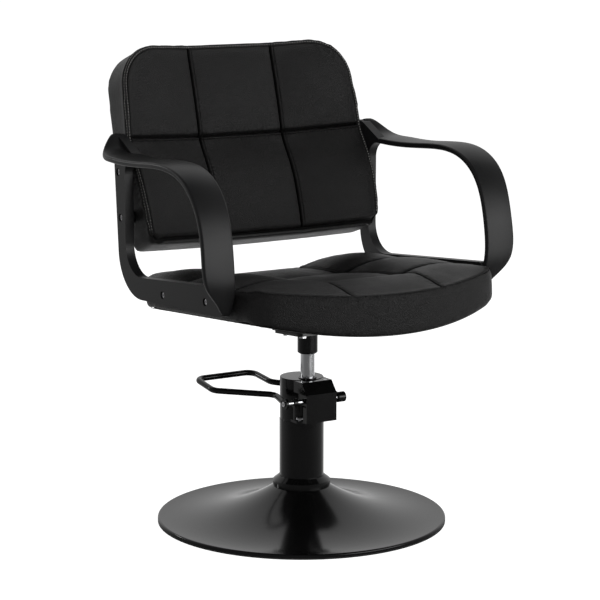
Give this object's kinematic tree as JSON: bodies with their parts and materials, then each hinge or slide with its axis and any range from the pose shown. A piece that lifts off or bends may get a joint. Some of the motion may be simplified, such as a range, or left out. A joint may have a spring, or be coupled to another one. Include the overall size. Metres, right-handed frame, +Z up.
{
  "type": "hydraulic salon styling chair",
  "caption": "Padded salon chair with closed-loop moulded arms on a hydraulic pump column with a round base and a bent-bar pump pedal.",
  "frame": {"origin": "on the floor at the centre of the round base, which is the axis of the pump column", "axes": "+Z up, -Y the way the sitter faces, +X to the sitter's left"},
  "size_m": [0.7106, 0.7243, 0.9421],
  "materials": {
    "base_paint": "satin",
    "pump_paint": "gloss",
    "black_plastic": "gloss",
    "seal_black": "matte",
    "steel": "satin",
    "zinc": "satin",
    "chrome": "polished",
    "bronze": "satin",
    "plywood": "matte",
    "under_cloth": "matte",
    "leatherette": "satin",
    "arm_skin": "satin"
  },
  "bodies": {
    "pump_base": {"base_disc": "base_paint", "floor_pad": "seal_black", "ballast_plate": "steel", "column_flange": "steel", "base_bolts": "zinc", "base_nuts": "zinc", "collar": "black_plastic", "column_tube": "pump_paint", "cylinder_base": "steel", "inner_cylinder": "steel", "pump_head": "pump_paint", "ram_bush": "bronze", "ram_seal": "seal_black", "gland": "black_plastic", "pump_cover": "pump_paint", "cover_screws": "zinc", "plunger_spring": "steel"},
    "piston": {"piston_head": "steel", "piston_seal": "seal_black", "thrust_washer": "bronze"},
    "chair": {"ram": "chrome", "ram_socket": "pump_paint", "seat_plate": "pump_paint", "plate_bolts": "zinc", "mount_block": "plywood", "seat_board": "plywood", "seat_battens": "plywood", "underside_cloth": "under_cloth", "seat_cushion": "leatherette", "back_board": "plywood", "back_battens": "plywood", "back_rear_panel": "leatherette", "back_cushion": "leatherette", "arm_left": "arm_skin", "arm_right": "arm_skin", "arm_screws_left": "zinc", "arm_screws_right": "zinc"},
    "pedal": {"pedal_shaft": "chrome", "pump_lever": "steel", "release_arm": "pump_paint", "pedal_loop": "pump_paint", "pedal_screws": "zinc"},
    "plunger": {"plunger": "steel"},
    "release_button": {"release_button": "zinc"}
  },
  "joints": [
    {"name": "lift", "type": "slide", "parent": "pump_base", "child": "piston", "axis": [0, 0, 1], "range_m": [0, 0.15]},
    {"name": "swivel", "type": "hinge", "parent": "piston", "child": "chair", "pos_m": [0, -0.022, 0.3], "axis": [0, 0, 1], "continuous": true},
    {"name": "pedal", "type": "hinge", "parent": "pump_base", "child": "pedal", "pos_m": [0, -0.062, 0.257], "axis": [-1, 0, 0], "range_deg": [0, 20], "stiffness_Nm_per_rad": 6, "springref_deg": -14.32},
    {"name": "plunger", "type": "slide", "parent": "pump_base", "child": "plunger", "axis": [0, 0, -1], "range_m": [0, 0.0042], "deforming": ["plunger_spring"]},
    {"name": "release_button", "type": "slide", "parent": "pump_base", "child": "release_button", "axis": [0, 0, -1], "range_m": [0, 0.0025], "stiffness_N_per_m": 800, "springref_m": -0.002}
  ],
  "couplings": [
    {"joint": "plunger", "follows": "pedal", "m_per_rad": 0.012}
  ]
}
